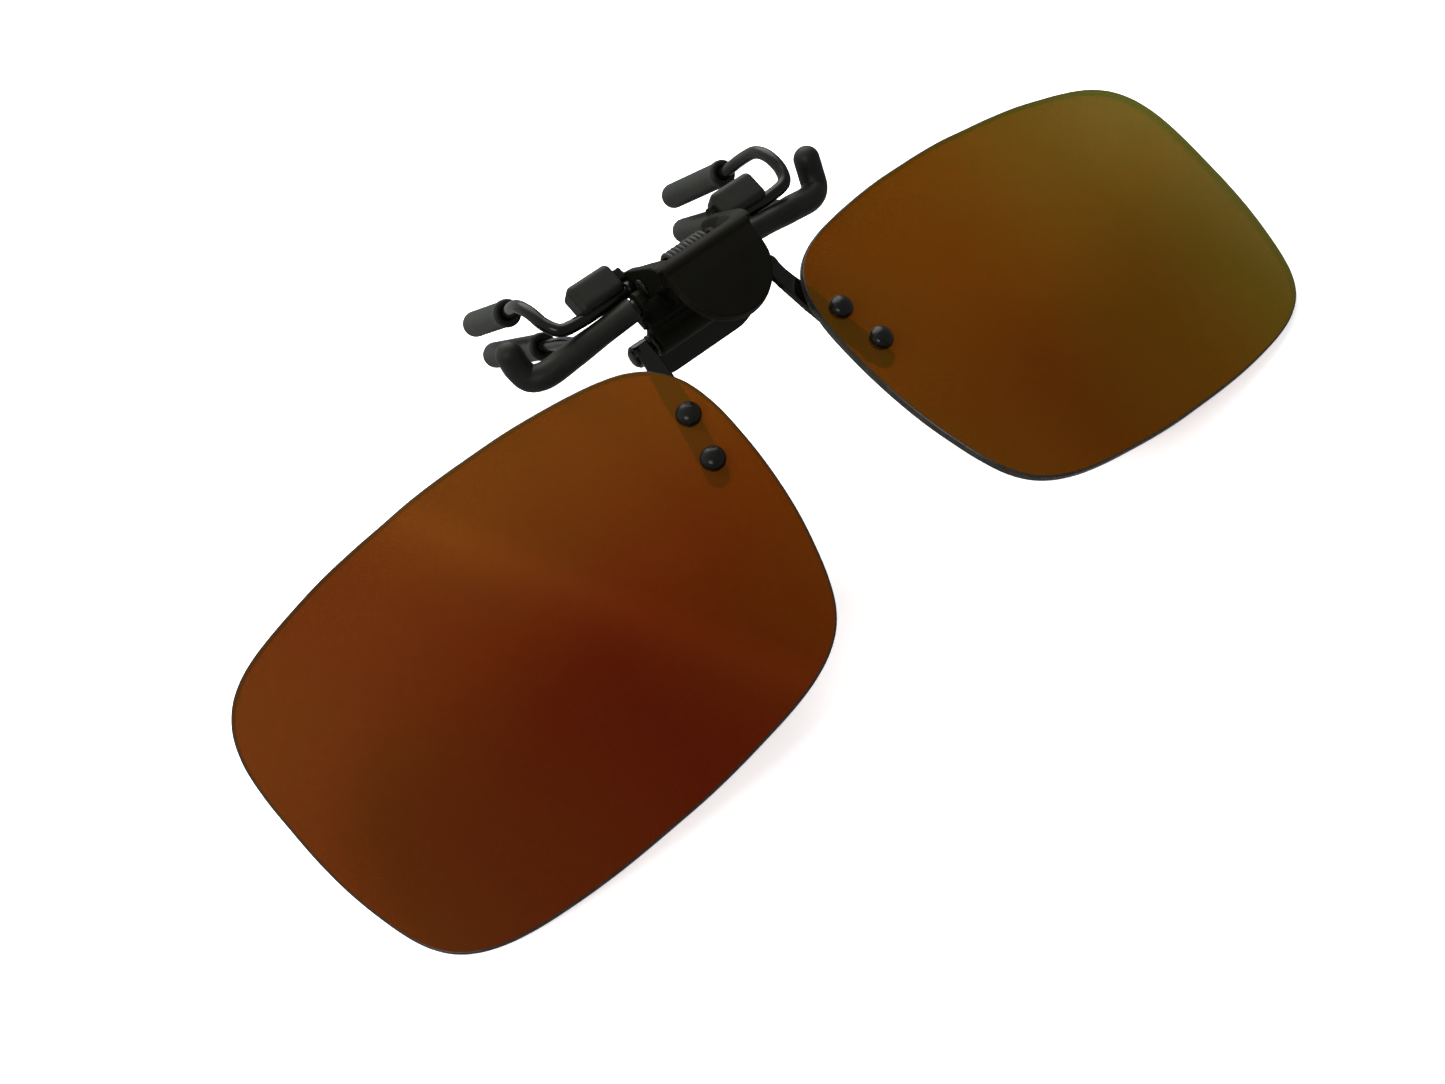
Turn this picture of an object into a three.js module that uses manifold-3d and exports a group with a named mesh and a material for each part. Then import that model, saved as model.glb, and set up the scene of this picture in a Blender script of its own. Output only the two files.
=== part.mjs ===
// Clip-on flip-up sunglasses: a spring clamp that grips the bridge of a pair of
// glasses, and a pair of tinted lenses that flips up on an axle below it.
//
// Millimetres. The whole assembly is modelled in the lens frame (X across, Y up
// in the plane of the raised lenses, Z out of their front), and the outer group
// leans it until it stands on the lens corners and the front prong tips, +Z up.
import * as THREE from 'three';
import { mergeVertices } from 'three/addons/utils/BufferGeometryUtils.js';
import Module from 'manifold-3d';

const wasm = await Module();
wasm.setup();

// ---------------------------------------------------------------- dimensions
const LENS_T = 1.0;            // lens thickness
const WRAP = 10.456;           // degrees each lens is swept back from the middle
const AXLE = [19.6, -4.9];     // flip axle centre, Y and Z
const AXLE_R = 0.6;
const BORE_R = 0.9;            // bores over the 1.2 mm pins
const PIVOT = [23.4, 1.0];     // clamp pin centre, Y and Z
const PIN_R = 0.6;
const WIRE_R = 0.725;          // rear spring wire
const CORE_R = 0.55;           // front arm core wire
const ARM_R = 1.35;            // front arm rubber
const SLEEVE_R = 1.52;         // prong sleeve rubber
const SLEEVE_BORE = 0.97;
const TAB_W = 11.3;            // thumb lever width
const SHEET = 1.2;             // thumb lever sheet thickness
const STRIP_W = 2.5;           // lens bracket strip width
const STRIP_N = [-2.7, -1.9];  // bracket strip, depth below the lens front
const RIVETS = [[10.84, 10.13], [12.0, 4.82]];
const LEAN = 14.6027;           // degrees, lens frame to standing frame
const SHIFT = [0, -13.4534, 16.3297];

// Lens outline of the +X lens in its own plane: s across from the middle, t up.
const LENS = [
  [8.16, 0.00], [8.96, -5.01], [9.99, -8.90], [11.14, -12.23], [12.50, -14.95], [14.15, -16.88],
  [16.31, -18.32], [19.24, -19.46], [22.69, -20.22], [26.80, -20.77], [30.90, -21.20], [34.75, -21.44],
  [38.51, -21.50], [42.35, -21.52], [46.47, -21.42], [51.06, -21.07], [55.20, -20.51], [58.48, -19.67],
  [61.03, -18.48], [62.73, -17.10], [64.01, -15.37], [64.91, -13.43], [65.86, -10.37], [66.78, -6.25],
  [67.31, -2.09], [67.56, 2.11], [67.68, 6.44], [67.38, 10.33], [66.39, 13.53], [64.78, 15.82],
  [62.94, 17.24], [60.75, 18.26], [57.87, 19.10], [54.60, 19.81], [50.70, 20.51], [46.28, 20.97],
  [42.28, 21.21], [38.50, 21.43], [34.75, 21.41], [30.89, 21.23], [26.70, 20.95], [22.55, 20.41],
  [18.94, 19.77], [15.57, 18.96], [12.80, 17.86], [10.52, 16.14], [8.78, 13.34], [7.93, 9.57], [7.83, 4.68]];

// ------------------------------------------------------------------- helpers
const V = (x, y, z) => new THREE.Vector3(x, y, z);
const V2 = (x, y) => new THREE.Vector2(x, y);

// Closed solid from any closed geometry, made to face outwards.
function solid(geometry) {
  let g = geometry.index ? geometry.toNonIndexed() : geometry.clone();
  for (const k of Object.keys(g.attributes)) if (k !== 'position') g.deleteAttribute(k);
  g = mergeVertices(g, 1e-4);
  const p = g.attributes.position, tri = [];
  let vol = 0;
  for (let i = 0; i < g.index.count; i += 3) {
    const [a, b, c] = [g.index.getX(i), g.index.getX(i + 1), g.index.getX(i + 2)];
    if (a === b || b === c || a === c) continue;
    tri.push(a, b, c);
    const A = V().fromBufferAttribute(p, a), B = V().fromBufferAttribute(p, b), C = V().fromBufferAttribute(p, c);
    vol += A.dot(B.cross(C));
  }
  if (vol < 0) for (let i = 0; i < tri.length; i += 3) [tri[i], tri[i + 1]] = [tri[i + 1], tri[i]];
  return new wasm.Manifold(new wasm.Mesh({
    numProp: 3, vertProperties: new Float32Array(p.array), triVerts: new Uint32Array(tri) }));
}

function toGeometry(m) {
  const mesh = m.getMesh(), g = new THREE.BufferGeometry();
  g.setAttribute('position', new THREE.BufferAttribute(new Float32Array(mesh.vertProperties), 3));
  g.setIndex(new THREE.BufferAttribute(new Uint32Array(mesh.triVerts), 1));
  g.computeVertexNormals();
  return g;
}

function mirrored(geometry) {
  const g = geometry.clone(), p = g.attributes.position, ix = g.index;
  for (let i = 0; i < p.count; i++) p.setX(i, -p.getX(i));
  for (let i = 0; i < ix.count; i += 3) { const a = ix.getX(i); ix.setX(i, ix.getX(i + 1)); ix.setX(i + 1, a); }
  g.computeVertexNormals();
  return g;
}

// Geometry moved so that its own x, y and z lie along the given directions.
function place(g, o, ex, ey, ez) {
  return g.applyMatrix4(new THREE.Matrix4().makeBasis(ex, ey, ez).setPosition(o));
}

const circle = (r, n) => new THREE.Shape(Array.from({ length: n }, (_, i) =>
  V2(r * Math.cos((2 * Math.PI * i) / n), r * Math.sin((2 * Math.PI * i) / n))));

// Round bar along a curve through the points.
function bar(points, r, steps, sides = 10) {
  const path = new THREE.CatmullRomCurve3(points.map(p => V(...p)), false, 'centripetal');
  return solid(new THREE.ExtrudeGeometry(circle(r, sides), { steps, extrudePath: path, bevelEnabled: false }));
}

// Outline in Y and Z carried along X.
function prism(points, x0, x1) {
  const g = new THREE.ExtrudeGeometry(new THREE.Shape(points.map(p => V2(...p))), { depth: x1 - x0, bevelEnabled: false });
  return solid(place(g, V(x0, 0, 0), V(0, 1, 0), V(0, 0, 1), V(1, 0, 0)));
}

const rod = (r, y, z, x0, x1, n = 18) => prism(Array.from({ length: n }, (_, i) =>
  [y + r * Math.cos((2 * Math.PI * i) / n), z + r * Math.sin((2 * Math.PI * i) / n)]), x0, x1);

// Turned solid about a line from o along dir; profile is [radius, distance].
function turned(profile, o, dir, n = 20) {
  const g = new THREE.LatheGeometry(profile.map(p => V2(...p)), n);
  const ey = dir.clone().normalize();
  const ex = new THREE.Vector3().crossVectors(V(0.31, 0.92, 0.2), ey).normalize();
  return solid(place(g, o, ex, ey, new THREE.Vector3().crossVectors(ex, ey)));
}

const ball = (r, p) => solid(new THREE.SphereGeometry(r, 12, 8).translate(...p));

function roundedRect(w, h, r, n = 5) {
  const pts = [];
  for (const [cx, cy, a] of [[w / 2 - r, h / 2 - r, 0], [r - w / 2, h / 2 - r, 90], [r - w / 2, r - h / 2, 180], [w / 2 - r, r - h / 2, 270]])
    for (let i = 0; i <= n; i++) {
      const q = THREE.MathUtils.degToRad(a + (90 * i) / n);
      pts.push(V2(cx + r * Math.cos(q), cy + r * Math.sin(q)));
    }
  return new THREE.Shape(pts);
}

// Directions of the +X lens: across (s), up (t) and out of its front (n).
const w = THREE.MathUtils.degToRad(WRAP);
const eS = V(Math.cos(w), 0, -Math.sin(w)), eT = V(0, 1, 0), eN = V(Math.sin(w), 0, Math.cos(w));
const onLens = (s, t, n) => V(0, 0, 0).addScaledVector(eS, s).addScaledVector(eT, t).addScaledVector(eN, n);
const slab = (shape, n0, n1) => solid(place(
  new THREE.ExtrudeGeometry(shape, { depth: n1 - n0, bevelEnabled: false }), onLens(0, 0, n0), eS, eT, eN));
const post = (s, t, r, n0, n1, k = 14) => turned([[0, 0], [r, 0], [r, n1 - n0], [0, n1 - n0]], onLens(s, t, n0), eN, k);

// ----------------------------------------------------------------- materials
const mat = (color, roughness, metalness, extra = {}) =>
  new THREE.MeshStandardMaterial({ color, roughness, metalness, ...extra });
const LENS_TINT = () => mat(0x3a211b, 0.08, 0.1, { transparent: true, opacity: 0.93 });
const SATIN = () => mat(0x1b1b1d, 0.42, 0.2);
const GLOSS = () => mat(0x0d0d0f, 0.18, 0.6);
const RUBBER = () => mat(0x161617, 0.6, 0.0);
const STEEL = () => mat(0x6f7175, 0.3, 0.9);
const CLEAR = () => mat(0x2a2a2c, 0.35, 0.0);

const assembly = new THREE.Group();
const base = new THREE.Group(), lever = new THREE.Group(), lensUnit = new THREE.Group();
assembly.add(base, lever, lensUnit);

function add(group, name, what, material) {
  const mesh = new THREE.Mesh(what.isBufferGeometry ? what : toGeometry(what), material());
  mesh.name = name;
  group.add(mesh);
}
function addPair(group, name, what, material) {
  const g = toGeometry(what);
  add(group, name + '_right', g, material);
  add(group, name + '_left', mirrored(g), material);
}

// ---------------------------------------------------------------- front jaw
// Finger plate: leans forward below the axle, rounded lower corners.
const down = V(0, -2.0, -8.1).normalize(), out = new THREE.Vector3().crossVectors(V(1, 0, 0), down);
const plateLen = 9.0;
const plate = solid(place(
  new THREE.ExtrudeGeometry(roundedRect(14.2, plateLen + 3, 2.8, 6), { depth: 1.5, bevelEnabled: false }),
  V(0, 20.75, -2.5).addScaledVector(down, (plateLen - 3) / 2).addScaledVector(out, -0.75), V(1, 0, 0), down, out));
const above = prism([[15, -2.75], [30, -2.75], [30, 6], [15, 6]], -9, 9);
let basePlate = plate.subtract(above)
  .add(prism([[20.1, -3.6], [23.4, -3.6], [23.4, -2.2], [20.5, -2.2]], -7.1, 7.1))
  .add(rod(1.5, ...AXLE, -7.0, 7.0));
const EAR = [[21.4, -2.6], [21.9, 1.2], [22.2, 1.9], [22.9, 2.35], [23.7, 2.4], [24.4, 2.0], [24.8, 1.3], [24.7, 0.4], [23.7, -1.6], [23.3, -2.6]];
const LUG = [[21.4, -2.6], [21.4, 0.1], [21.9, 0.8], [23.1, 0.85], [23.8, 0.3], [23.85, -0.8], [23.4, -2.6]];
for (const k of [-1, 1]) {
  basePlate = basePlate
    .add(prism(EAR, Math.min(k * 3.2, k * 3.9), Math.max(k * 3.2, k * 3.9)))
    .add(prism(LUG, Math.min(k * 6.5, k * 7.5), Math.max(k * 6.5, k * 7.5)))
    .add(prism([[20.9, -3.4], [23.3, -3.4], [23.3, -2.3], [20.9, -2.3]], Math.min(k * 6.8, k * 7.5), Math.max(k * 6.8, k * 7.5)))
    .subtract(rod(0.85, 22.7, -0.85, Math.min(k * 6.8, k * 8), Math.max(k * 6.8, k * 8), 14));
}
basePlate = basePlate.subtract(rod(BORE_R, ...AXLE, -8, 8)).subtract(rod(BORE_R, ...PIVOT, -5, 5));
add(base, 'finger_plate', basePlate, SATIN);
add(base, 'clamp_pin', rod(PIN_R, ...PIVOT, -6.2, 6.2), STEEL);

// Front arm: rubber covered wire that runs out and hooks up at its end.
const ARM = [[7.9, 22.7, -0.9], [10, 22.8, -1.5], [15, 23.05, -2.95], [18.8, 23.35, -4.1], [20.1, 24.15, -4.35], [20.6, 25.5, -3.65], [20.75, 26.7, -2.45]];
const CORE = [[6.95, 22.7, -0.85], [7.9, 22.7, -0.9], ...ARM.slice(1, 6), [20.7, 26.1, -3.05]];
const PRONG = [[14.5, 23.03, -2.8], [14.5, 24.1, -3.3], [14.5, 25.5, -5.1], [14.5, 28.0, -9.26], [14.5, 36.7, -24.1]];
const PRONG_DIR = V(0, 0.506, -0.862).normalize();
const prongEnd = V(14.5, 37.24, -25.03);
const armOuter = bar(ARM, ARM_R, 14, 12).add(ball(ARM_R * 1.005, ARM[ARM.length - 1]));
const armBore = bar([[7.2, 22.7, -0.86], ...CORE.slice(1, 7), [20.74, 26.45, -2.7]], 0.87, 14, 8);
addPair(base, 'front_arm_cover', armOuter.subtract(armBore)
  .subtract(bar(PRONG.slice(0, 4), 1.0, 6, 8)), RUBBER);
addPair(base, 'front_arm_wire', bar(CORE, CORE_R, 15, 8).add(bar(PRONG, 0.67, 10, 10)), GLOSS);

// Closed rubber sleeve on the end of a prong; o is the centre of its round tip.
function sleeve(o, dir, length) {
  const back = length - SLEEVE_R, pr = [[0, SLEEVE_R]];
  for (let i = 1; i <= 5; i++) {
    const q = (Math.PI / 2) * (i / 5);
    pr.push([SLEEVE_R * Math.sin(q), SLEEVE_R * Math.cos(q)]);
  }
  pr.push([SLEEVE_R * 0.97, -back + 0.45], [SLEEVE_R * 0.82, -back], [0, -back]);
  const bore = [[0, -0.4], [SLEEVE_BORE, -0.4], [SLEEVE_BORE, -back - 2], [0, -back - 2]];
  return turned(pr, o, dir, 14).subtract(turned(bore, o, dir, 10));
}
addPair(base, 'front_prong_sleeve', sleeve(prongEnd, PRONG_DIR, 18.2), RUBBER);

// Friction washers between the finger plate's barrel and the lens brackets.
addPair(base, 'friction_washer', rod(1.35, ...AXLE, 7.27, 7.57).subtract(rod(BORE_R, ...AXLE, 7, 8)), STEEL);

// Torsion spring round the clamp pin, one leg on the plate, the free one under the tab.
const coil = [[-2.4, 20.9, -1.62], [-2.4, 22.2, -1.2]];
const TURNS = 4.5, COIL_R = 1.45, WIRE_S = 0.28;
for (let i = 0; i <= TURNS * 12; i++) {
  const q = -Math.PI / 2 + (2 * Math.PI * i) / 12;
  coil.push([-2.4 + (4.8 * i) / (TURNS * 12), PIVOT[0] + COIL_R * Math.cos(q), PIVOT[1] + COIL_R * Math.sin(q)]);
}
coil.push([2.4, 21.9, 2.3], [2.4, 20.6, 2.15], [2.4, 19.4, 2.05]);
add(base, 'clamp_spring', bar(coil, WIRE_S, 60, 5), STEEL);

// --------------------------------------------------------------- thumb lever
// Side view of the tab, the ridge and the straps that go over the back.
const tabProfile = [[12.6, 4.12], [16.0, 4.95], [19.0, 5.6], [20.6, 5.85], [21.5, 5.9], [21.5, 4.6], [20.3, 4.5], [19.0, 5.55 - SHEET], [16.0, 4.95 - SHEET], [12.6, 4.12 - SHEET]];
const tabEdge = [V2(5.5, 23), V2(-5.5, 23)];
for (let i = 0; i <= 24; i++) {
  const q = Math.PI * (1 + i / 24);
  tabEdge.push(V2(5.5 * Math.cos(q), 18.8 + 5.45 * Math.sin(q)));
}
const tabPlan = solid(place(
  new THREE.ExtrudeGeometry(new THREE.Shape(tabEdge), { depth: 12, bevelEnabled: false }),
  V(0, 0, -2), V(1, 0, 0), V(0, 1, 0), V(0, 0, 1)));
const STRAP = [[21.5, 6.04], [22.3, 5.8], [23.0, 5.2], [24.0, 3.7], [25.1, 1.95], [26.1, 0.4], [26.9, -1.3], [27.2, -2.7], [27.0, -3.2],
  [26.0, -2.95], [25.7, -1.5], [25.0, -0.1], [24.1, 1.4], [23.1, 2.9], [22.3, 3.8], [21.2, 4.2]];
const CHEEK = [[21.4, 4.7], [21.7, 2.0], [22.1, 0.2], [22.7, -0.8], [23.7, -1.5], [23.8, -2.7], [24.4, -3.1], [26.6, -3.1], [27.0, -2.0], [26.6, -0.9], [25.5, 1.2], [24.1, 3.5], [22.8, 5.0]];
let thumb = prism(tabProfile, -TAB_W / 2, TAB_W / 2).intersect(tabPlan).add(rod(1.25, 21.45, 4.8, -TAB_W / 2, TAB_W / 2, 28));
for (const k of [-1, 1]) {
  const X = (a, b) => [Math.min(k * a, k * b), Math.max(k * a, k * b)];
  const taper = [[3.0, 22.2], [4.2, 22.2], [5.25, 25.2], [5.25, 28], [3.0, 28]].map(([x, y]) => V2(k * x, y));
  if (k > 0) taper.reverse();
  const inside = solid(new THREE.ExtrudeGeometry(new THREE.Shape(taper), { depth: 14, bevelEnabled: false }).translate(0, 0, -5));
  thumb = thumb.add(prism(STRAP, ...X(4.2, 6.2)).subtract(inside)).add(prism(CHEEK, ...X(5.1, 6.2)))
    .add(prism([[26.0, -1.5], [27.5, -1.5], [27.5, -0.5], [26.0, -0.5]], ...X(6.0, 11.4)))
    .subtract(rod(1.03, 24.9, -1.2, ...X(5.45, 8), 14));
}
thumb = thumb.subtract(rod(BORE_R, ...PIVOT, -8, 8));
add(lever, 'thumb_lever', thumb, SATIN);

// Rear wire: out of the lever's cheek, up and over, then down inside a sleeve.
const REAR = [[5.8, 24.9, -1.2], [9, 24.9, -1.2], [13.2, 24.9, -1.15], [15.5, 25.25, -1.0], [16.35, 26.7, -1.1], [16.6, 29.0, -1.5], [16.6, 30.9, -2.9],
  [16.3, 32.4, -5.7], [15.5, 33.95, -9.6], [15.35, 36.1, -13.6], [15.06, 39.6, -20.2]];
addPair(lever, 'rear_wire', bar(REAR, WIRE_R, 24, 10), GLOSS);
const rearDir = V(15.0 - 15.5, 40.4 - 33.9, -21.7 + 9.5).normalize();
addPair(lever, 'rear_prong_sleeve', sleeve(V(15.0, 40.4, -21.7), rearDir, 15.4), RUBBER);

// Rest pads: rounded rubber blocks pushed onto the lever's side tongues.
const padGeo = new THREE.ExtrudeGeometry(roundedRect(4.7, 2.65, 0.5, 3), { depth: 1.8, bevelEnabled: true, bevelThickness: 0.6, bevelSize: 0.6, bevelSegments: 3, steps: 1 });
const pad = solid(place(padGeo, V(9.85, 26.625, -1.95), V(1, 0, 0), V(0, 1, 0), V(0, 0, 1)));
const padCut = prism([[25.5, -1.8], [27.8, -1.8], [27.8, -0.2], [25.5, -0.2]], 5, 11.7)
  .add(rod(1.03, 24.9, -1.18, 5, 14, 16));
addPair(lever, 'rest_pad', pad.subtract(padCut), RUBBER);

// ------------------------------------------------------------------- lenses
add(lensUnit, 'flip_axle', rod(AXLE_R, ...AXLE, -9.6, 9.6), STEEL);

const outline = new THREE.CatmullRomCurve3(LENS.map(p => V(p[0], p[1], 0)), true, 'centripetal').getPoints(72).slice(0, 72);
let lens = slab(new THREE.Shape(outline.map(p => V2(p.x, p.y))), -LENS_T, 0);
for (const [s, t] of RIVETS) lens = lens.subtract(post(s, t, 0.95, -2, 1));
addPair(lensUnit, 'lens', lens, LENS_TINT);

// Bracket strip: from an eye on the axle down behind the lens past both rivets.
const MID = [[9.45, 20.1], [9.55, 17.5], [9.95, 15.2], [10.84, 10.13], [12.0, 4.82], [12.3, 3.6]];
const mid = new THREE.CatmullRomCurve3(MID.map(p => V(p[0], p[1], 0)), false, 'centripetal');
const sideA = [], sideB = [], N = 14;
for (let i = 0; i <= N; i++) {
  const p = mid.getPointAt(i / N), d = mid.getTangentAt(i / N);
  const half = (STRIP_W - 0.6 * (1 - THREE.MathUtils.smoothstep(i / N, 0.05, 0.45))) / 2;
  sideA.push(V2(p.x - d.y * half, p.y + d.x * half));
  sideB.push(V2(p.x + d.y * half, p.y - d.x * half));
}
const end = mid.getPointAt(1), dEnd = mid.getTangentAt(1), cap = [];
for (let i = 1; i < 8; i++) {
  const q = (Math.PI * i) / 8, c = Math.cos(q) * STRIP_W / 2, h = Math.sin(q) * STRIP_W / 2;
  cap.push(V2(end.x - dEnd.y * c + dEnd.x * h, end.y + dEnd.x * c + dEnd.y * h));
}
let strip = slab(new THREE.Shape([...sideA, ...cap, ...sideB.reverse()]), ...STRIP_N)
  .add(rod(1.3, ...AXLE, 7.87, 9.8)).subtract(rod(BORE_R, ...AXLE, 7, 11));
for (const [s, t] of RIVETS) strip = strip.subtract(post(s, t, 0.9, -4, 0));
addPair(lensUnit, 'lens_bracket', strip, GLOSS);

// Rivets and the thin washers between each lens and its bracket.
const RIVET = [[0, -3.5], [0.85, -3.5], [1.1, -3.3], [1.1, -3.0], [0.6, -3.0], [0.6, 0.3], [1.28, 0.3], [1.28, 0.45], [1.08, 0.8], [0.6, 1.05], [0, 1.12]];
RIVETS.forEach(([s, t], i) => {
  const where = ['upper', 'lower'][i];
  addPair(lensUnit, 'rivet_' + where, turned(RIVET, onLens(s, t, 0), eN, 12), GLOSS);
  addPair(lensUnit, 'lens_washer_' + where, post(s, t, 1.25, -1.6, -1.3).subtract(post(s, t, 0.9, -3, 0)), CLEAR);
});

assembly.rotation.x = THREE.MathUtils.degToRad(LEAN);
assembly.position.set(...SHIFT);
export default assembly;
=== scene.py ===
import math

import bmesh
import bpy
from mathutils import Matrix, Vector


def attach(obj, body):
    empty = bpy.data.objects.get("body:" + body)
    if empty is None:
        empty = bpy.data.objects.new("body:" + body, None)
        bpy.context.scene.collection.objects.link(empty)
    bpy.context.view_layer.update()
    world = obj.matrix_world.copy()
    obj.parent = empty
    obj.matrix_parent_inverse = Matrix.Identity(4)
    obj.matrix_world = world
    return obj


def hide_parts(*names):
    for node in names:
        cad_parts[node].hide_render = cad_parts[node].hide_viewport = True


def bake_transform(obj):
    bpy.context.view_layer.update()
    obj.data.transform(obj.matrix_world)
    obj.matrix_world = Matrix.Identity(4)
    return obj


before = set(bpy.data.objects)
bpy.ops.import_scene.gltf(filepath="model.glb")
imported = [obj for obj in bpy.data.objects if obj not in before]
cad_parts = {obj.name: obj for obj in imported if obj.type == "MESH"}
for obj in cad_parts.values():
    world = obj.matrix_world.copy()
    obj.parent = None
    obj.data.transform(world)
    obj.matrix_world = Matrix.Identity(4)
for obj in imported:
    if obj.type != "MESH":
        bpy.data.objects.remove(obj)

scene = bpy.context.scene
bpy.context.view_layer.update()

# ------------------------------------------------------------------ frame maths
# The lens frame (mm): X across, Y up in the plane of the raised lenses, Z out
# of their front. It leans by LEAN about X and shifts to stand on the floor.
LEAN = math.radians(14.6027)
SHIFT = (0.0, -13.4534, 16.3297)
CL, SL = math.cos(LEAN), math.sin(LEAN)
WRAP = math.radians(10.456)


def G(x, y, z):
    return Vector((x, CL * y - SL * z + SHIFT[1], SL * y + CL * z + SHIFT[2])) * 0.001


def GD(x, y, z):
    return Vector((x, CL * y - SL * z, SL * y + CL * z)).normalized()


def on_lens(s, t, n, side):
    return G(side * (s * math.cos(WRAP) + n * math.sin(WRAP)), t, -s * math.sin(WRAP) + n * math.cos(WRAP))


SIDES = (("left", -1), ("right", 1))


def flip(p, side):
    return (p[0] * side, p[1], p[2])


# ---------------------------------------------------------------- camera, first
cam_rows = ((0.757053, -0.642199, 0.120213), (-0.560438, -0.732877, -0.385746), (0.335827, 0.224658, -0.914740))
RIGHT, DOWN, AHEAD = (GD(*r) for r in cam_rows)
EYE = G(-77.599644, -43.377995, 162.877029)
cam_data = bpy.data.cameras.new("view_camera")
cam_data.sensor_fit = "HORIZONTAL"
cam_data.sensor_width = 36.0
cam_data.lens = 36.0 * 1800.0 / 1445.0
cam_data.clip_start = 0.005
cam_data.clip_end = 20.0
cam = bpy.data.objects.new("view_camera", cam_data)
scene.collection.objects.link(cam)
m = Matrix.Identity(4)
for i in range(3):
    m[i][0], m[i][1], m[i][2], m[i][3] = RIGHT[i], -DOWN[i], -AHEAD[i], EYE[i]
cam.matrix_world = m
scene.camera = cam
scene.view_settings.view_transform = "Standard"


# -------------------------------------------------------------------- materials
def lin(c):
    out = []
    for v in c:
        v /= 255.0
        out.append(v / 12.92 if v <= 0.04045 else ((v + 0.055) / 1.055) ** 2.4)
    return (*out, 1.0)


class Mat:
    def __init__(self, name):
        self.m = bpy.data.materials.new(name)
        self.m.use_nodes = True
        self.t = self.m.node_tree
        self.n = self.t.nodes
        self.b = self.n["Principled BSDF"]
        self.co = self.n.new("ShaderNodeTexCoord").outputs["Object"]

    def link(self, a, b):
        self.t.links.new(a, b)

    def noise(self, scale, detail=4.0, rough=0.55, stretch=None):
        k = self.n.new("ShaderNodeTexNoise")
        k.inputs["Scale"].default_value = scale
        k.inputs["Detail"].default_value = detail
        k.inputs["Roughness"].default_value = rough
        src = self.co
        if stretch:
            mp = self.n.new("ShaderNodeMapping")
            mp.inputs["Scale"].default_value = stretch
            self.link(self.co, mp.inputs["Vector"])
            src = mp.outputs["Vector"]
        self.link(src, k.inputs["Vector"])
        return k.outputs["Fac"]

    def ramp(self, fac, stops):
        r = self.n.new("ShaderNodeValToRGB")
        while len(r.color_ramp.elements) < len(stops):
            r.color_ramp.elements.new(0.5)
        for e, (p, c) in zip(r.color_ramp.elements, stops):
            e.position = p
            e.color = c if len(c) == 4 else (*c, 1.0)
        self.link(fac, r.inputs["Fac"])
        return r.outputs["Color"]

    def spread(self, fac, a, b, lo=0.3, hi=0.7):
        r = self.n.new("ShaderNodeMapRange")
        r.inputs["From Min"].default_value = lo
        r.inputs["From Max"].default_value = hi
        r.inputs["To Min"].default_value = a
        r.inputs["To Max"].default_value = b
        self.link(fac, r.inputs["Value"])
        return r.outputs["Result"]

    def math(self, op, a, b):
        k = self.n.new("ShaderNodeMath")
        k.operation = op
        for i, v in enumerate((a, b)):
            if isinstance(v, (int, float)):
                k.inputs[i].default_value = v
            else:
                self.link(v, k.inputs[i])
        return k.outputs[0]

    def mix(self, fac, a, b, mode="MIX"):
        k = self.n.new("ShaderNodeMix")
        k.data_type = "RGBA"
        k.blend_type = mode
        for sock, v in ((k.inputs[0], fac), (k.inputs[6], a), (k.inputs[7], b)):
            if isinstance(v, (int, float)):
                sock.default_value = v
            elif isinstance(v, tuple):
                sock.default_value = v
            else:
                self.link(v, sock)
        return k.outputs[2]

    def bump(self, height, strength, dist):
        k = self.n.new("ShaderNodeBump")
        k.inputs["Strength"].default_value = strength
        k.inputs["Distance"].default_value = dist
        self.link(height, k.inputs["Height"])
        self.link(k.outputs["Normal"], self.b.inputs["Normal"])


def black_surface(name, dark, light, rough, metal, spec, grain, bump, edge, coat=0.0, sheen=(1.0, 0.98, 0.92)):
    a = Mat(name)
    big = a.noise(260.0, 3.0)
    fine = a.noise(grain, 5.0, 0.6)
    col = a.ramp(a.math("ADD", a.math("MULTIPLY", big, 0.55), a.math("MULTIPLY", fine, 0.45)),
                 [(0.34, dark), (0.68, light)])
    geo = a.n.new("ShaderNodeNewGeometry")
    # Convex edges painted lighter, found by pointiness.
    convex_edge_lightening = a.spread(geo.outputs["Pointiness"], 0.0, 1.0, 0.54, 0.68)
    col = a.mix(a.math("MULTIPLY", convex_edge_lightening, edge), col, tuple(min(1.0, 2.2 * v) for v in light[:3]) + (1.0,))
    a.link(col, a.b.inputs["Base Color"])
    a.link(a.spread(fine, rough[0], rough[1]), a.b.inputs["Roughness"])
    a.b.inputs["Metallic"].default_value = metal
    a.b.inputs["Specular IOR Level"].default_value = spec
    a.b.inputs["Coat Weight"].default_value = coat
    a.b.inputs["Specular Tint"].default_value = (*sheen, 1.0)
    a.b.inputs["Coat Roughness"].default_value = 0.08
    a.bump(fine, bump, 0.00002)
    return a.m


RUBBER = black_surface("moulded_rubber", (0.0045, 0.0052, 0.0040), (0.0075, 0.0085, 0.0066), (0.34, 0.50), 0.0, 0.27, 5200.0, 0.30, 0.12)
SATIN = black_surface("satin_black_paint", (0.0013, 0.0013, 0.0007), (0.0027, 0.0027, 0.0015), (0.46, 0.56), 0.0, 0.13, 6500.0, 0.16, 0.25, sheen=(1.0, 0.93, 0.74))
GLOSS = black_surface("gloss_black_plating", (0.0012, 0.0014, 0.0012), (0.0025, 0.0027, 0.0023), (0.12, 0.20), 0.0, 0.34, 3000.0, 0.05, 0.2, 0.08)
RIVET = black_surface("rivet_black", (0.0012, 0.0014, 0.0014), (0.0028, 0.0030, 0.0030), (0.16, 0.26), 0.0, 0.34, 3600.0, 0.08, 0.2, 0.08)
STEEL = black_surface("dark_spring_steel", (0.022, 0.022, 0.021), (0.040, 0.040, 0.038), (0.22, 0.34), 0.7, 0.4, 4200.0, 0.08, 0.15)
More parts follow.
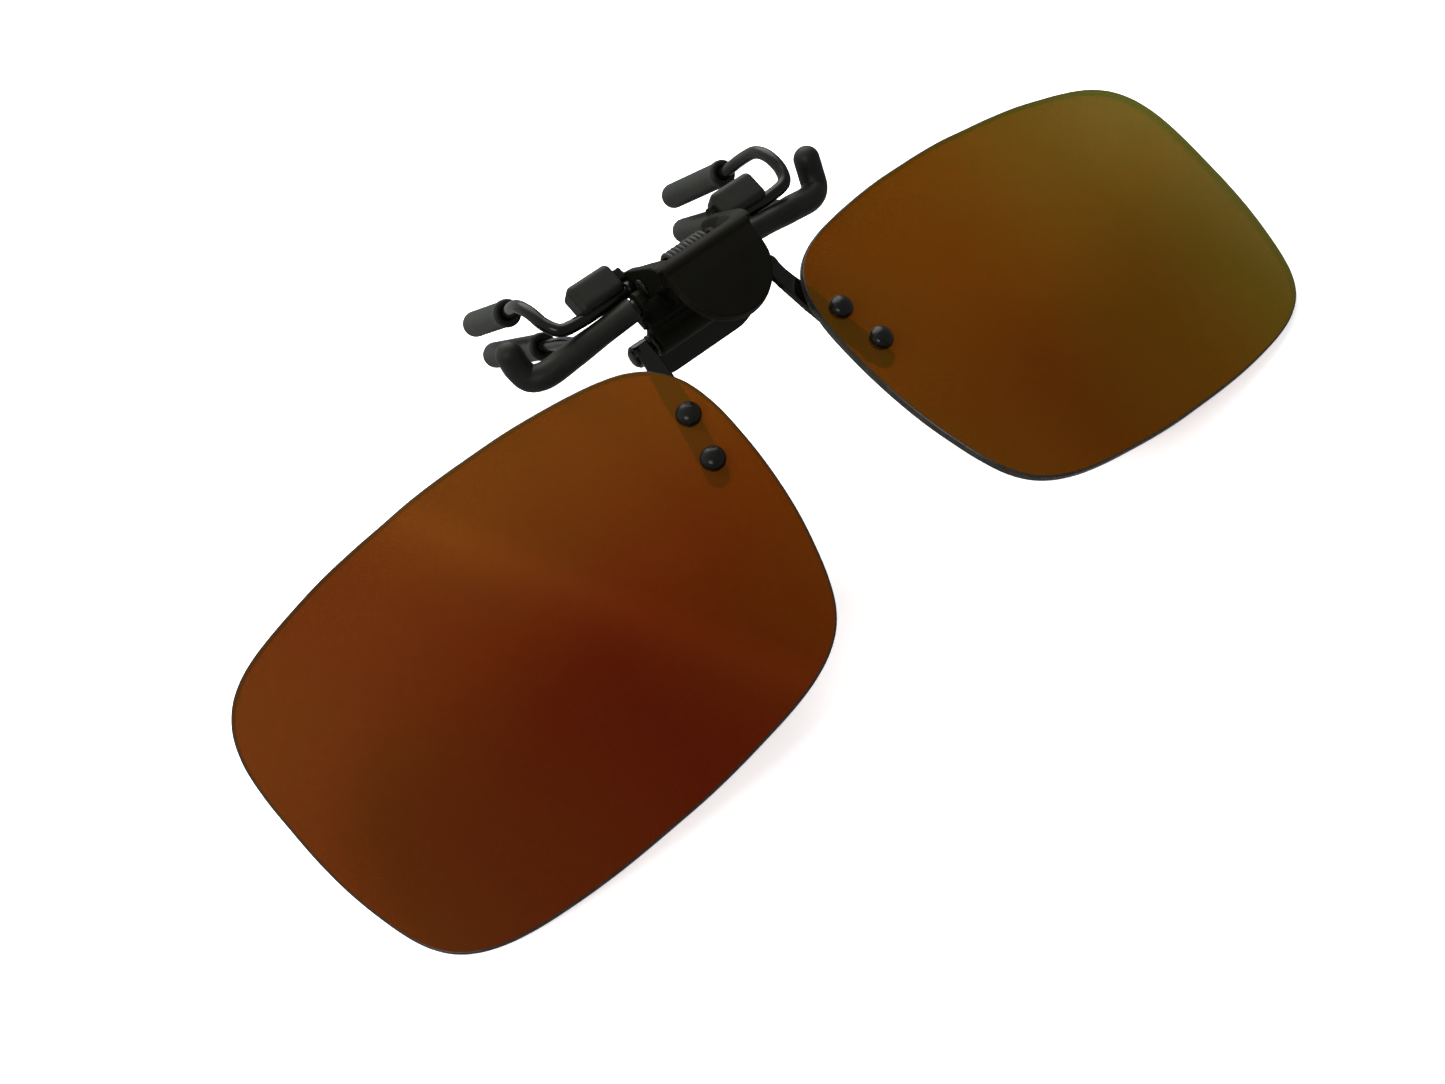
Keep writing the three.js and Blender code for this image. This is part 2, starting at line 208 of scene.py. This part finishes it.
NYLON = black_surface("dark_nylon", (0.006, 0.006, 0.006), (0.010, 0.010, 0.010), (0.40, 0.55), 0.0, 0.4, 4000.0, 0.15, 0.2)

# Tinted lens: amber mirror coat whose hue drifts across each lens; part of that colour is painted reflection, a
# browner upper band and lighter outer ends.
GAIN = 2.1


def tint(c, k=1.0):
    r = lin(c)
    return (min(1, r[0] * GAIN * k), min(1, r[1] * GAIN * k), min(1, r[2] * GAIN * k), 1.0)


def lens_material():
    a = Mat("amber_mirror_lens")
    sep = a.n.new("ShaderNodeSeparateXYZ")
    a.link(a.co, sep.inputs[0])
    cloud = a.noise(38.0, 2.0, 0.5)
    x = a.math("ADD", sep.outputs["X"], a.math("MULTIPLY", a.math("SUBTRACT", cloud, 0.5), 0.012))
    across = a.spread(x, 0.0, 1.0, -0.0665, 0.0665)
    # Colour by place on the lens: redder below a soft line, browner above it and lighter toward the outer ends; partly
    # the coat's own hue, partly painted reflection.
    lower_coat_and_painted_reflection = a.ramp(across, [(0.0, tint((88, 46, 14))), (0.10, tint((81, 33, 8))), (0.24, tint((75, 19, 4))),
                          (0.36, tint((78, 28, 3))), (0.46, tint((90, 46, 3))), (0.54, tint((94, 62, 10))),
                          (0.70, tint((86, 50, 3))), (0.84, tint((92, 64, 6))), (0.93, tint((97, 84, 20))), (1.0, tint((106, 100, 40)))])
    upper_coat_and_painted_reflection = a.ramp(across, [(0.0, tint((90, 54, 19))), (0.16, tint((90, 52, 15))), (0.34, tint((94, 56, 14))),
                           (0.46, tint((98, 60, 12))), (0.56, tint((96, 62, 10))), (0.72, tint((100, 68, 6))),
                           (0.88, tint((100, 90, 22))), (1.0, tint((116, 118, 48)))])
    # Height mask that lays the painted reflection band over the upper part of the lens.
    up = a.math("ADD", sep.outputs["Y"], a.math("MULTIPLY", a.math("SUBTRACT", cloud, 0.5), 0.010))
    k = a.n.new("ShaderNodeMapRange")
    k.interpolation_type = "SMOOTHSTEP"
    k.inputs["From Min"].default_value = -0.020
    k.inputs["From Max"].default_value = 0.006
    a.link(up, k.inputs["Value"])
    col = a.mix(k.outputs["Result"], lower_coat_and_painted_reflection, upper_coat_and_painted_reflection)
    film = a.noise(1500.0, 3.0)
    col = a.mix(a.math("MULTIPLY", film, 0.10), col, tint((112, 66, 26)))
    a.link(col, a.b.inputs["Base Color"])
    a.link(a.spread(film, 0.02, 0.045), a.b.inputs["Roughness"])
    a.b.inputs["Metallic"].default_value = 0.85
    a.b.inputs["Specular IOR Level"].default_value = 0.1
    a.b.inputs["Coat Weight"].default_value = 0.05
    a.b.inputs["Coat Roughness"].default_value = 0.03
    a.bump(a.noise(1500.0, 3.0), 0.03, 0.00001)
    clear = a.n.new("ShaderNodeBsdfTransparent")
    clear.inputs["Color"].default_value = (0.55, 0.18, 0.04, 1.0)
    mixer = a.n.new("ShaderNodeMixShader")
    mixer.inputs[0].default_value = 0.72
    a.link(clear.outputs[0], mixer.inputs[1])
    a.link(a.b.outputs[0], mixer.inputs[2])
    out = a.n["Material Output"]
    a.link(mixer.outputs[0], out.inputs["Surface"])
    return a.m


LENS = lens_material()

# Polished lens edge: greyer, as the cut edge of the sheet shows.
edge = Mat("polished_lens_edge")
edge.link(edge.ramp(edge.noise(900.0, 3.0), [(0.3, lin((20, 18, 14))), (0.7, lin((36, 34, 28)))]), edge.b.inputs["Base Color"])
edge.link(edge.spread(edge.noise(2500.0), 0.18, 0.32), edge.b.inputs["Roughness"])
edge.b.inputs["Specular IOR Level"].default_value = 0.5
EDGE = edge.m


# ---------------------------------------------------------------- mesh building
def finish_mesh(name, bm, mats, body, replaces=(), sharp=35.0):
    bmesh.ops.recalc_face_normals(bm, faces=bm.faces)
    me = bpy.data.meshes.new(name)
    bm.to_mesh(me)
    bm.free()
    for p in me.polygons:
        p.use_smooth = True
    me.set_sharp_from_angle(angle=math.radians(sharp))
    for mt in mats if isinstance(mats, (list, tuple)) else [mats]:
        me.materials.append(mt)
    ob = bpy.data.objects.new(name, me)
    scene.collection.objects.link(ob)
    if body:
        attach(ob, body)
    if replaces:
        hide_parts(*replaces)
    return ob


def spline(points, step, closed=False):
    """Centripetal Catmull-Rom through the points, resampled at an even step (mm)."""
    P = [Vector(p) for p in points]
    n = len(P)
    dense = []
    for i in range(n if closed else n - 1):
        p1, p2 = P[i], P[(i + 1) % n]
        p0 = P[(i - 1) % n] if closed or i else p1 * 2 - p2
        p3 = P[(i + 2) % n] if closed or i + 2 < n else p2 * 2 - p1
        t01, t12, t23 = (max(1e-4, (b - a).length ** 0.5) for a, b in ((p0, p1), (p1, p2), (p2, p3)))
        m1 = ((p1 - p0) / t01 - (p2 - p0) / (t01 + t12) + (p2 - p1) / t12) * t12
        m2 = ((p2 - p1) / t12 - (p3 - p1) / (t12 + t23) + (p3 - p2) / t23) * t12
        for j in range(24):
            u = j / 24.0
            u2, u3 = u * u, u * u * u
            dense.append(p1 * (2 * u3 - 3 * u2 + 1) + m1 * (u3 - 2 * u2 + u) + p2 * (3 * u2 - 2 * u3) + m2 * (u3 - u2))
    dense.append(P[0] if closed else P[-1])
    run = [0.0]
    for a, b in zip(dense, dense[1:]):
        run.append(run[-1] + (b - a).length)
    count = max(4, round(run[-1] / step))
    out, k = [], 0
    for i in range(count if closed else count + 1):
        d = run[-1] * i / count
        while k < len(run) - 2 and run[k + 1] < d:
            k += 1
        f = (d - run[k]) / max(1e-9, run[k + 1] - run[k])
        out.append(dense[k].lerp(dense[k + 1], min(1, max(0, f))))
    return out


def tube(name, points, r, mats, body, replaces, sides=28, step=0.22, caps=("flat", "flat"), side=1, swell=None):
    path = [G(*flip(p, side)) for p in spline(points, step)]
    r *= 0.001
    tang = [(path[min(i + 1, len(path) - 1)] - path[max(i - 1, 0)]).normalized() for i in range(len(path))]
    up = Vector((0, 0, 1)) if abs(tang[0].z) < 0.9 else Vector((1, 0, 0))
    u = (up - tang[0] * up.dot(tang[0])).normalized()
    rings = []
    for i, (p, t) in enumerate(zip(path, tang)):
        if i:
            u = (u - t * u.dot(t)).normalized()
        v = t.cross(u)
        k = swell(i / (len(path) - 1)) if swell else 1.0
        rings.append((p, t, u.copy(), v, r * k))

    def cap(end, kind):
        p, t, uu, v, rr = end
        extra = []
        if kind == "round":
            for j in range(1, 9):
                q = math.pi / 2 * j / 9
                extra.append((p + t * rr * math.sin(q), t, uu, v, rr * math.cos(q)))
            return extra, p + t * rr
        for j in range(1, 4):
            q = math.pi / 2 * j / 3
            extra.append((p + t * rr * 0.12 * math.sin(q), t, uu, v, rr * (0.88 + 0.12 * math.cos(q))))
        return extra, p + t * rr * 0.12

    tail, tail_pole = cap(rings[-1], caps[1])
    p, t, uu, v, rr = rings[0]
    head, head_pole = cap((p, -t, uu, v, rr), caps[0])
    full = head[::-1] + rings + tail
    bm = bmesh.new()
    loops = []
    for p, t, uu, v, rr in full:
        loops.append([bm.verts.new(p + uu * (rr * math.cos(2 * math.pi * j / sides)) + v * (rr * math.sin(2 * math.pi * j / sides))) for j in range(sides)])
    for a, b in zip(loops, loops[1:]):
        for j in range(sides):
            bm.faces.new((a[j], a[(j + 1) % sides], b[(j + 1) % sides], b[j]))
    for loop, pole in ((loops[0], head_pole), (loops[-1], tail_pole)):
        c = bm.verts.new(pole)
        for j in range(sides):
            bm.faces.new((loop[j], loop[(j + 1) % sides], c))
    return finish_mesh(name, bm, mats, body, replaces, sharp=50.0)


def turned(name, profile, origin, axis, mats, body, replaces, seg=44, sharp=40.0, index=None):
    """Closed turned solid. profile is [radius, distance along axis] in mm."""
    axis = axis.normalized()
    u = axis.orthogonal().normalized()
    v = axis.cross(u)
    bm = bmesh.new()
    rings = []
    for r, d in profile:
        c = origin + axis * (d * 0.001)
        if r < 1e-6:
            rings.append([bm.verts.new(c)])
        else:
            rings.append([bm.verts.new(c + (u * math.cos(2 * math.pi * j / seg) + v * math.sin(2 * math.pi * j / seg)) * (r * 0.001)) for j in range(seg)])
    for a, b in zip(rings, rings[1:]):
        for j in range(seg):
            k = (j + 1) % seg
            if len(a) == 1 and len(b) == 1:
                continue
            if len(a) == 1:
                bm.faces.new((a[0], b[k], b[j]))
            elif len(b) == 1:
                bm.faces.new((a[j], a[k], b[0]))
            else:
                bm.faces.new((a[j], a[k], b[k], b[j]))
    return finish_mesh(name, bm, mats, body, replaces, sharp)


# ----------------------------------------------------------------------- lenses
OUTLINE = [
    (8.16, 0.00), (8.96, -5.01), (9.99, -8.90), (11.14, -12.23), (12.50, -14.95), (14.15, -16.88),
    (16.31, -18.32), (19.24, -19.46), (22.69, -20.22), (26.80, -20.77), (30.90, -21.20), (34.75, -21.44),
    (38.51, -21.50), (42.35, -21.52), (46.47, -21.42), (51.06, -21.07), (55.20, -20.51), (58.48, -19.67),
    (61.03, -18.48), (62.73, -17.10), (64.01, -15.37), (64.91, -13.43), (65.86, -10.37), (66.78, -6.25),
    (67.31, -2.09), (67.56, 2.11), (67.68, 6.44), (67.38, 10.33), (66.39, 13.53), (64.78, 15.82),
    (62.94, 17.24), (60.75, 18.26), (57.87, 19.10), (54.60, 19.81), (50.70, 20.51), (46.28, 20.97),
    (42.28, 21.21), (38.50, 21.43), (34.75, 21.41), (30.89, 21.23), (26.70, 20.95), (22.55, 20.41),
    (18.94, 19.77), (15.57, 18.96), (12.80, 17.86), (10.52, 16.14), (8.78, 13.34), (7.93, 9.57), (7.83, 4.68)]
RIVETS = (("upper", 10.84, 10.13), ("lower", 12.0, 4.82))


def lens_piece(where, side):
    pts = spline([(s, t, 0.0) for s, t in OUTLINE], 0.55, closed=True)
    n = len(pts)
    inward = []
    for i in range(n):
        d = pts[(i + 1) % n] - pts[i - 1]
        inward.append(Vector((-d.y, d.x, 0)).normalized())
    # Ring offsets: (inset, depth) round the polished edge, front to back.
    steps = [(0.20, 0.0), (0.11, -0.03), (0.04, -0.10), (0.0, -0.22), (0.0, -0.78), (0.04, -0.90), (0.11, -0.97), (0.20, -1.0)]
    bm = bmesh.new()
    rings = [[bm.verts.new(on_lens(p.x + q.x * i, p.y + q.y * i, d, side)) for p, q in zip(pts, inward)] for i, d in steps]
    for a, b in zip(rings, rings[1:]):
        for j in range(n):
            f = bm.faces.new((a[j], a[(j + 1) % n], b[(j + 1) % n], b[j]))
            f.material_index = 1
    hole_rings = []
    for _, s, t in RIVETS:
        pair = []
        for d in (0.0, -1.0):
            pair.append([bm.verts.new(on_lens(s + 0.72 * math.cos(2 * math.pi * j / 32), t + 0.72 * math.sin(2 * math.pi * j / 32), d, side)) for j in range(32)])
        for j in range(32):
            bm.faces.new((pair[0][j], pair[0][(j + 1) % 32], pair[1][(j + 1) % 32], pair[1][j])).material_index = 1
        hole_rings.append(pair)
    for which, ring in ((0, rings[0]), (1, rings[-1])):
        edges = []
        for loop in [ring] + [h[which] for h in hole_rings]:
            for a, b in zip(loop, loop[1:] + loop[:1]):
                edges.append(bm.edges.get((a, b)) or bm.edges.new((a, b)))
        made = bmesh.ops.triangle_fill(bm, use_beauty=True, use_dissolve=False, edges=edges)
        for f in made["geom"]:
            if isinstance(f, bmesh.types.BMFace):
                f.material_index = 0
    return finish_mesh(f"tinted_lens_{where}", bm, [LENS, EDGE], "lens_unit", (f"lens_{where}",), sharp=18.0)


HEAD = [(0, -3.42), (0.6, -3.42), (0.9, -3.36), (1.06, -3.22), (1.1, -3.05), (1.06, -2.93), (0.66, -2.9), (0.66, 0.02)]
for q in range(0, 4):
    a = math.radians(-80 + 28 * q)
    HEAD.append((1.32 + 0.06 * math.cos(a), 0.08 + 0.06 * math.sin(a)))
for q in range(1, 11):
    a = math.radians(9 * q)
    HEAD.append((1.37 * math.cos(a) ** 0.85 if q < 10 else 0.0, 0.12 + 0.90 * math.sin(a)))

for where, side in SIDES:
    lens_piece(where, side)
    normal = (on_lens(0, 0, 1, side) - on_lens(0, 0, 0, side)).normalized()
    for part, s, t in RIVETS:
        turned(f"domed_rivet_{part}_{where}", HEAD, on_lens(s, t, 0, side), normal, RIVET, "lens_unit",
               (f"rivet_{part}_{where}",), seg=48)

# -------------------------------------------------------------- wires and rubber
ARM = [(7.9, 22.7, -0.9), (10, 22.8, -1.5), (15, 23.05, -2.95), (18.8, 23.35, -4.1), (20.1, 24.15, -4.35), (20.6, 25.5, -3.65), (20.75, 26.7, -2.45)]
CORE = [(6.95, 22.7, -0.85), (7.9, 22.7, -0.9), (8.6, 22.72, -1.08)]
PRONG = [(14.5, 23.3, -2.85), (14.5, 24.1, -3.3), (14.5, 25.5, -5.1), (14.5, 28.0, -9.26), (14.5, 36.7, -24.1)]
REAR = [(5.8, 24.9, -1.2), (9, 24.9, -1.2), (13.2, 24.9, -1.15), (15.5, 25.25, -1.0), (16.35, 26.7, -1.1), (16.6, 29.0, -1.5), (16.6, 30.9, -2.9),
        (16.3, 32.4, -5.7), (15.5, 33.95, -9.6), (15.35, 36.1, -13.6), (15.06, 39.6, -20.2)]
SR = 1.52


def ease(v):
    v = min(1.0, max(0.0, v))
    return v * v * (3 - 2 * v)


def hooked(points, side):
    """The hand-bent hooks sit 0.3 mm in on the right and 0.2 mm out on the left."""
    shift = -0.32 if side > 0 else 0.22
    return [(x + shift * ease((x - 12.0) / 7.0), y, z) for x, y, z in points]


def sleeve_profile(length, bore):
    back = -(length - SR)
    prof = [(0, -0.5), (bore, -0.5), (bore, back + 0.25), (bore + 0.08, back + 0.06), (bore + 0.2, back)]
    prof += [(1.30, back), (1.46, back + 0.07), (1.56, back + 0.22), (1.58, back + 0.5), (1.57, back + 0.85), (1.50, back + 1.1), (1.47, back + 1.5)]
    for i in range(1, 12):
        f = i / 12
        prof.append((1.47 + 0.05 * f, back + 1.5 + (0 - back - 1.5) * f))
    for i in range(0, 13):
        q = math.pi / 2 * i / 12
        prof.append((SR * math.cos(q) if i < 12 else 0.0, SR * math.sin(q)))
    return prof


for where, side in SIDES:
    tube(f"arm_rubber_{where}", hooked(ARM, side), 1.36, RUBBER, "base", (f"front_arm_cover_{where}",), sides=32, caps=("flat", "round"), side=side,
         swell=lambda u: 1.0 + 0.10 * ease((u - 0.22) / 0.25))
    core = tube(f"arm_core_{where}", CORE, 0.98, GLOSS, "base", (), sides=20, side=side)
    tube(f"front_prong_{where}", PRONG, 0.68, GLOSS, "base", (f"front_arm_wire_{where}",), sides=24, side=side)
    tube(f"rear_spring_wire_{where}", REAR, 0.725, GLOSS, "lever", (f"rear_wire_{where}",), sides=28, side=side)
    tube(f"wire_collar_{where}", [(6.28, 24.9, -1.2), (6.5, 24.9, -1.2), (6.86, 24.9, -1.2)], 1.02, GLOSS, "lever", (), sides=24, step=0.1, side=side)
    d = GD(0, 0.506, -0.862)
    turned(f"front_sleeve_{where}", sleeve_profile(18.2, 0.74), G(side * 14.5, 37.24, -25.03), d, RUBBER, "base",
           (f"front_prong_sleeve_{where}",))
    d = GD(*flip((15.0 - 15.5, 40.4 - 33.9, -21.7 + 9.5), side))
    turned(f"rear_sleeve_{where}", sleeve_profile(15.4, 0.78), G(side * 15.0, 40.4, -21.7), d, RUBBER, "lever",
           (f"rear_prong_sleeve_{where}",))


# --------------------------------------------------------------------- rest pads
def pad_piece(where, side):
    bm = bmesh.new()
    bmesh.ops.create_cube(bm, size=1.0)
    W, D, H = 5.85, 3.85, 2.95
    for v in bm.verts:
        v.co = Vector((v.co.x * W, v.co.y * D, v.co.z * H))
        if v.co.z > 0:
            v.co.x *= 0.955
            v.co.y *= 0.93
    bmesh.ops.bevel(bm, geom=list(bm.edges), offset=0.72, segments=7, profile=0.5, affect="EDGES", clamp_overlap=True)
    bmesh.ops.subdivide_edges(bm, edges=[e for e in bm.edges if e.calc_length() > 0.6], cuts=5, use_grid_fill=True)
    for v in bm.verts:
        x, y, z = v.co
        # Slightly crowned sides, as soft moulded rubber has.
        v.co.y += 0.06 * (1 - (2 * x / W) ** 2) * (1 if y > 0 else -1) * min(1, abs(y) / 1.2)
        v.co = G(side * (9.85 + x), 26.60 + y, -1.08 + z)
    return finish_mesh(f"rest_pad_rubber_{where}", bm, RUBBER, "lever", (f"rest_pad_{where}",), sharp=60.0)


for where, side in SIDES:
    pad_piece(where, side)

# ----------------------------------------------------------------- torsion spring
coil = [(-2.4, 20.9, -1.62), (-2.4, 22.2, -1.2)]
for i in range(int(8.0 * 16) + 1 + 8):
    q = -math.pi / 2 + 2 * math.pi * i / 16
    coil.append((-2.4 + 4.8 * i / 136.0, 23.4 + 1.45 * math.cos(q), 1.0 + 1.45 * math.sin(q)))  # close wound
coil += [(2.4, 21.9, 2.72), (2.4, 20.9, 3.12), (2.4, 19.7, 3.90), (2.4, 18.9, 3.92)]
spring = tube("torsion_spring", coil, 0.28, STEEL, None, (), sides=14, step=0.12, caps=("round", "round"))
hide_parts("clamp_spring")
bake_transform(spring)


# ------------------------------------------------------- pin heads and axle caps
for where, side in SIDES:
    out = Vector((side, 0, 0))
    turned(f"clamp_pin_head_{where}", [(0, 6.22), (0.86, 6.22), (0.95, 6.27), (0.96, 6.36), (0.90, 6.48), (0.74, 6.59), (0.45, 6.67), (0.2, 6.70), (0, 6.705)],
           G(0, 23.4, 1.0), out, GLOSS, "base", (), seg=36)
    turned(f"flip_axle_cap_{where}", [(0, 9.82), (0.90, 9.82), (1.0, 9.86), (1.03, 9.93), (0.98, 10.02), (0.80, 10.11), (0.5, 10.17), (0.2, 10.19), (0, 10.195)],
           G(0, 19.6, -4.9), out, GLOSS, "lens_unit", (), seg=36)

# ---------------------------------------------------- carried-over metal pieces
def carry(node, mat, voxel=None, smooth=0, bevel=None):
    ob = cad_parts[node]
    if ob.material_slots:
        for s in ob.material_slots:
            s.material = mat
    else:
        ob.data.materials.append(mat)
    for p in ob.data.polygons:
        p.use_smooth = True
        p.material_index = 0
    w = ob.modifiers.new("weld", "WELD")
    w.merge_threshold = 1e-6
    if voxel:
        r = ob.modifiers.new("remesh", "REMESH")
        r.mode = "VOXEL"
        r.voxel_size = voxel
        r.use_smooth_shade = True
        k = ob.modifiers.new("smooth", "SMOOTH")
        k.factor = 0.5
        k.iterations = smooth
    if bevel:
        b = ob.modifiers.new("bevel", "BEVEL")
        b.width = bevel
        b.segments = 3
        b.limit_method = "ANGLE"
        b.angle_limit = math.radians(50)
        b.harden_normals = False


carry("thumb_lever", SATIN, voxel=0.00011, smooth=7)
carry("finger_plate", SATIN, voxel=0.00011, smooth=6)
for where, side in SIDES:
    carry(f"lens_bracket_{where}", GLOSS, voxel=0.00009, smooth=5)
    carry(f"friction_washer_{where}", STEEL, bevel=0.00004)
    for part, s, t in RIVETS:
        carry(f"lens_washer_{part}_{where}", NYLON, bevel=0.00004)
carry("clamp_pin", STEEL, bevel=0.0001)
carry("flip_axle", STEEL, bevel=0.0001)

# --------------------------------------------------------- floor, world and lamps
bm = bmesh.new()
R = 2.2
bmesh.ops.create_grid(bm, x_segments=8, y_segments=8, size=R)
me = bpy.data.meshes.new("studio_floor")
bm.to_mesh(me)
bm.free()
floor = bpy.data.objects.new("studio_floor", me)
scene.collection.objects.link(floor)
fl = Mat("pale_floor")
fl.link(fl.ramp(fl.noise(3.0, 2.0), [(0.3, (0.90, 0.90, 0.90)), (0.7, (0.93, 0.93, 0.93))]), fl.b.inputs["Base Color"])
fl.b.inputs["Emission Color"].default_value = (1.0, 1.0, 1.0, 1.0)
fl.b.inputs["Emission Strength"].default_value = 0.58
fl.b.inputs["Roughness"].default_value = 0.9
fl.b.inputs["Specular IOR Level"].default_value = 0.1
me.materials.append(fl.m)
floor.visible_glossy = False

world = bpy.data.worlds.new("studio_world")
scene.world = world
world.use_nodes = True
wn, wl = world.node_tree.nodes, world.node_tree.links
bg = wn["Background"]
tc = wn.new("ShaderNodeTexCoord")


def toward(direction, stops, mode="EASE"):
    """Sky brightness as a function of how far a direction leans toward the axis."""
    dot = wn.new("ShaderNodeVectorMath")
    dot.operation = "DOT_PRODUCT"
    dot.inputs[1].default_value = Vector(direction).normalized()
    wl.new(tc.outputs["Generated"], dot.inputs[0])
    half = wn.new("ShaderNodeMath")
    half.operation = "MULTIPLY_ADD"
    half.inputs[1].default_value = 0.5
    half.inputs[2].default_value = 0.5
    wl.new(dot.outputs["Value"], half.inputs[0])
    rp = wn.new("ShaderNodeValToRGB")
    rp.color_ramp.interpolation = mode
    while len(rp.color_ramp.elements) < len(stops):
        rp.color_ramp.elements.new(0.5)
    for e, (d, v) in zip(rp.color_ramp.elements, stops):
        e.position = (d + 1) / 2
        e.color = (*v, 1) if isinstance(v, tuple) else (v, v, v, 1)
    wl.new(half.outputs[0], rp.inputs["Fac"])
    return rp.outputs["Color"]


broad = toward((-0.45, 0.80, 0.30), [(-1.0, 0.24), (-0.1, 0.24), (0.45, 0.34), (0.85, 0.60), (1.0, 0.60)])
step = toward((0.891, 0.450, 0.070), [(-1.0, 0.86), (-0.125, 0.86), (-0.085, (0.84, 0.62, 0.8)), (-0.050, (0.82, 0.60, 0.8)), (-0.026, (1.0, 0.95, 0.95)),
                                      (-0.003, (1.80, 1.80, 1.6)), (0.002, (1.10, 1.28, 1.0)), (0.12, (1.0, 1.08, 1.0)), (0.30, 1.0), (1.0, 0.95)], "LINEAR")
prod = wn.new("ShaderNodeMix")
prod.data_type = "RGBA"
prod.blend_type = "MULTIPLY"
prod.inputs[0].default_value = 1.0
wl.new(broad, prod.inputs[6])
wl.new(step, prod.inputs[7])
sheen = toward((0.36, 0.72, 0.50), [(-1.0, 0.0), (0.80, 0.0), (0.93, 1.9), (1.0, 2.1)])
glint = toward((-0.50, -0.30, 0.62), [(-1.0, 0.0), (0.972, 0.0), (0.990, 3.4), (1.0, 3.8)])
last = prod.outputs[2]
for extra in (sheen, glint):
    add = wn.new("ShaderNodeMix")
    add.data_type = "RGBA"
    add.blend_type = "ADD"
    add.inputs[0].default_value = 1.0
    wl.new(last, add.inputs[6])
    wl.new(extra, add.inputs[7])
    last = add.outputs[2]
wl.new(last, bg.inputs["Color"])
bg.inputs["Strength"].default_value = 1.0


def lamp(name, pos, target, size, power, shape="RECTANGLE", size_y=None, glossy=False):
    d = bpy.data.lights.new(name, "AREA")
    d.shape = shape
    d.size = size
    if size_y:
        d.size_y = size_y
    d.energy = power
    o = bpy.data.objects.new(name, d)
    scene.collection.objects.link(o)
    o.location = pos
    o.rotation_euler = (Vector(target) - Vector(pos)).to_track_quat("-Z", "Y").to_euler()
    o.visible_glossy = glossy
    return o


lamp("key_soft", (-0.45, 0.95, 0.75), (0, 0, 0), 0.55, 26.0, size_y=0.40)
lamp("rim_soft", (0.55, 1.05, 0.55), (0, 0, 0), 0.45, 12.0, size_y=0.35)
lamp("side_soft", (-1.15, 0.10, 0.65), (0, 0, 0), 0.50, 14.0, size_y=0.35)
